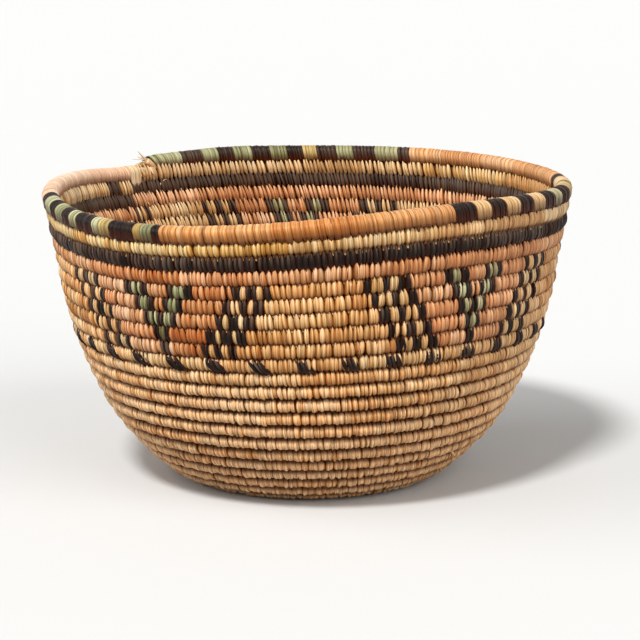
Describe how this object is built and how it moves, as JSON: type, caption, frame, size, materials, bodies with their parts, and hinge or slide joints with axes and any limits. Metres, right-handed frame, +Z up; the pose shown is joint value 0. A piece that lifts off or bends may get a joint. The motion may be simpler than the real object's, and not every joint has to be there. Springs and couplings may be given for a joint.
{
  "type": "coiled basket",
  "caption": "Deep round basket wound from a continuous wrapped coil, with a flat floor, a flared wall, banded pattern courses and a thick wrapped rim.",
  "frame": {"origin": "centre of the bounding box on the surface that the basket stands on", "axes": "+Z up out of the mouth, -Y towards the front of the picture, +X to its right"},
  "size_m": [0.3485, 0.3398, 0.2073],
  "materials": {
    "straw_wrap": "dried natural straw splints, matt to satin",
    "orange_wrap": "dyed orange tan splints wound close, satin",
    "salmon_wrap": "dyed salmon splints, matt",
    "dark_wrap": "dyed brown black splints, satin",
    "green_wrap": "dyed grey green splints, satin",
    "bundle_fibre": "frayed dry grass fibres, matt"
  },
  "bodies": {
    "root": {"start_knot": "straw_wrap", "floor_coil": "straw_wrap", "lower_wall_coil": "straw_wrap", "tick_course": "straw_wrap", "pattern_coil": "salmon_wrap", "salmon_course": "salmon_wrap", "dark_course": "dark_wrap", "upper_straw_course": "straw_wrap", "rim_start_orange": "orange_wrap", "rim_left_banded": "green_wrap", "rim_front_orange": "orange_wrap", "rim_right_banded": "dark_wrap", "rim_back_orange": "orange_wrap", "rim_tail_banded": "green_wrap", "rim_end_fibres": "bundle_fibre"}
  },
  "joints": []
}
